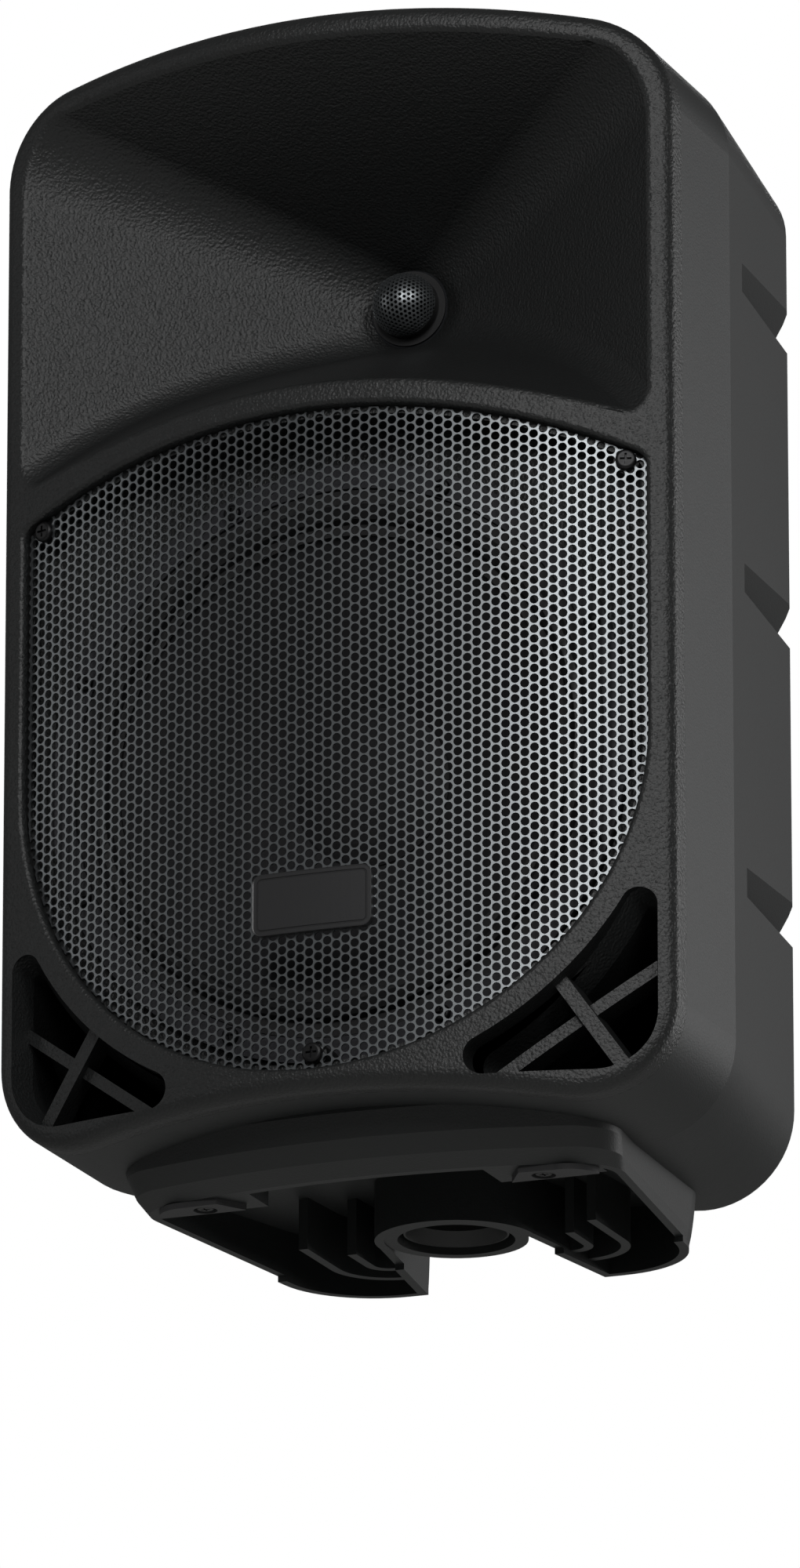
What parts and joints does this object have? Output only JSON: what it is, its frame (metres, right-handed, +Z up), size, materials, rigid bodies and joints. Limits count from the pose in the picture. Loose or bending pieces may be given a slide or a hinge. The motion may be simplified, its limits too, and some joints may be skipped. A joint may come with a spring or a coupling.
{
  "type": "pa speaker",
  "caption": "Two-way powered loudspeaker: flared horn over a bowed perforated woofer grille, corner bass ports, pole socket below, controls at the rear.",
  "frame": {"origin": "centre of the overall footprint on the surface that the cabinet stands on", "axes": "+Z up along the height, -Y out of the front grille, +X to the right as seen from the front"},
  "size_m": [0.297, 0.25, 0.4885],
  "materials": {
    "cabinet_plastic": "fine moulded grain",
    "baffle_plastic": "coarse moulded grain",
    "handle_plastic": "fine moulded grain",
    "socket_plastic": "satin",
    "inner_plastic": "satin",
    "knob_plastic": "satin",
    "button_plastic": "gloss",
    "lamp_plastic": "translucent gloss",
    "pad_rubber": "matte",
    "surround_rubber": "matte",
    "grille_steel": "satin powder coat",
    "panel_metal": "satin powder coat",
    "badge": "brushed",
    "black_screws": "black oxide",
    "zinc_steel": "zinc plated",
    "socket_metal": "bright",
    "cast_aluminium": "black anodised",
    "aluminium_sheet": "satin",
    "magnet_iron": "ground",
    "copper_winding": "lacquered wire",
    "brass_fittings": "turned",
    "cone_paper": "pressed pulp",
    "spider_cloth": "resin-dipped cloth",
    "foam": "open-cell foam",
    "board": "solder mask"
  },
  "bodies": {
    "cabinet": {"acoustic_foam": "foam", "amp_panel": "panel_metal", "amplifier_board": "board", "badge_plate": "badge", "board_spacers": "brass_fittings", "button_switches": "inner_plastic", "cabinet_screws": "black_screws", "cabinet_shell": "cabinet_plastic", "carry_handle": "handle_plastic", "combo_socket_a": "socket_plastic", "combo_socket_b": "socket_plastic", "cone_spider": "spider_cloth", "cone_surround": "surround_rubber", "diaphragm_ring": "inner_plastic", "driver_bolts": "zinc_steel", "driver_cap": "inner_plastic", "driver_magnet": "magnet_iron", "driver_rear_plate": "zinc_steel", "driver_throat_block": "cast_aluminium", "filter_capacitors": "inner_plastic", "foot_pad_left": "pad_rubber", "foot_pad_right": "pad_rubber", "foot_screws": "black_screws", "frame_gasket": "foam", "front_baffle": "baffle_plastic", "grille_screws": "black_screws", "handle_screws": "zinc_steel", "heatsink": "cast_aluminium", "indicator_lamps": "lamp_plastic", "input_board": "board", "link_socket": "socket_plastic", "mains_inlet": "socket_plastic", "output_transistors": "inner_plastic", "panel_screws": "black_screws", "pole_socket": "socket_plastic", "potentiometers": "zinc_steel", "power_transformer": "copper_winding", "rocker_frame": "socket_plastic", "spider_ring": "inner_plastic", "tweeter_mesh": "grille_steel", "woofer_basket": "cast_aluminium", "woofer_grille": "grille_steel", "woofer_magnet": "magnet_iron", "woofer_screws": "black_screws", "woofer_top_plate": "zinc_steel", "woofer_yoke": "zinc_steel"},
    "cone": {"woofer_cone": "cone_paper", "dust_cap": "cone_paper", "voice_coil": "copper_winding"},
    "diaphragm": {"driver_diaphragm": "aluminium_sheet"},
    "level_a": {"level_knob_a": "knob_plastic"},
    "level_b": {"level_knob_b": "knob_plastic"},
    "low_tone": {"low_tone_knob": "knob_plastic"},
    "high_tone": {"high_tone_knob": "knob_plastic"},
    "line_a": {"line_button_a": "button_plastic"},
    "line_b": {"line_button_b": "button_plastic"},
    "latch_a": {"combo_latch_a": "socket_metal"},
    "latch_b": {"combo_latch_b": "socket_metal"},
    "rocker": {"power_rocker": "button_plastic"}
  },
  "joints": [
    {"name": "cone_stroke", "type": "slide", "parent": "cabinet", "child": "cone", "axis": [0, 1, 0], "range_m": [-0.004, 0.004], "stiffness_N_per_m": 2500, "deforming": ["cone_surround", "cone_spider"]},
    {"name": "diaphragm_stroke", "type": "slide", "parent": "cabinet", "child": "diaphragm", "axis": [0, 1, 0], "range_m": [-0.00025, 0.00025], "stiffness_N_per_m": 5000},
    {"name": "level_turn_a", "type": "hinge", "parent": "cabinet", "child": "level_a", "pos_m": [-0.05, 0.109, 0.355], "axis": [0, 1, 0], "range_deg": [-150, 150]},
    {"name": "level_turn_b", "type": "hinge", "parent": "cabinet", "child": "level_b", "pos_m": [-0.016, 0.109, 0.355], "axis": [0, 1, 0], "range_deg": [-150, 150]},
    {"name": "low_tone_turn", "type": "hinge", "parent": "cabinet", "child": "low_tone", "pos_m": [0.018, 0.109, 0.355], "axis": [0, 1, 0], "range_deg": [-150, 150]},
    {"name": "high_tone_turn", "type": "hinge", "parent": "cabinet", "child": "high_tone", "pos_m": [0.05, 0.109, 0.355], "axis": [0, 1, 0], "range_deg": [-150, 150]},
    {"name": "line_press_a", "type": "slide", "parent": "cabinet", "child": "line_a", "axis": [0, -1, 0], "range_m": [0, 0.0025], "stiffness_N_per_m": 400, "springref_m": -0.001},
    {"name": "line_press_b", "type": "slide", "parent": "cabinet", "child": "line_b", "axis": [0, -1, 0], "range_m": [0, 0.0025], "stiffness_N_per_m": 400, "springref_m": -0.001},
    {"name": "latch_press_a", "type": "slide", "parent": "cabinet", "child": "latch_a", "axis": [0, -1, 0], "range_m": [0, 0.002], "stiffness_N_per_m": 400, "springref_m": -0.001},
    {"name": "latch_press_b", "type": "slide", "parent": "cabinet", "child": "latch_b", "axis": [0, -1, 0], "range_m": [0, 0.002], "stiffness_N_per_m": 400, "springref_m": -0.001},
    {"name": "power_rock", "type": "hinge", "parent": "cabinet", "child": "rocker", "pos_m": [0.02, 0.106, 0.253], "axis": [1, 0, 0], "range_deg": [-7, 7]}
  ]
}
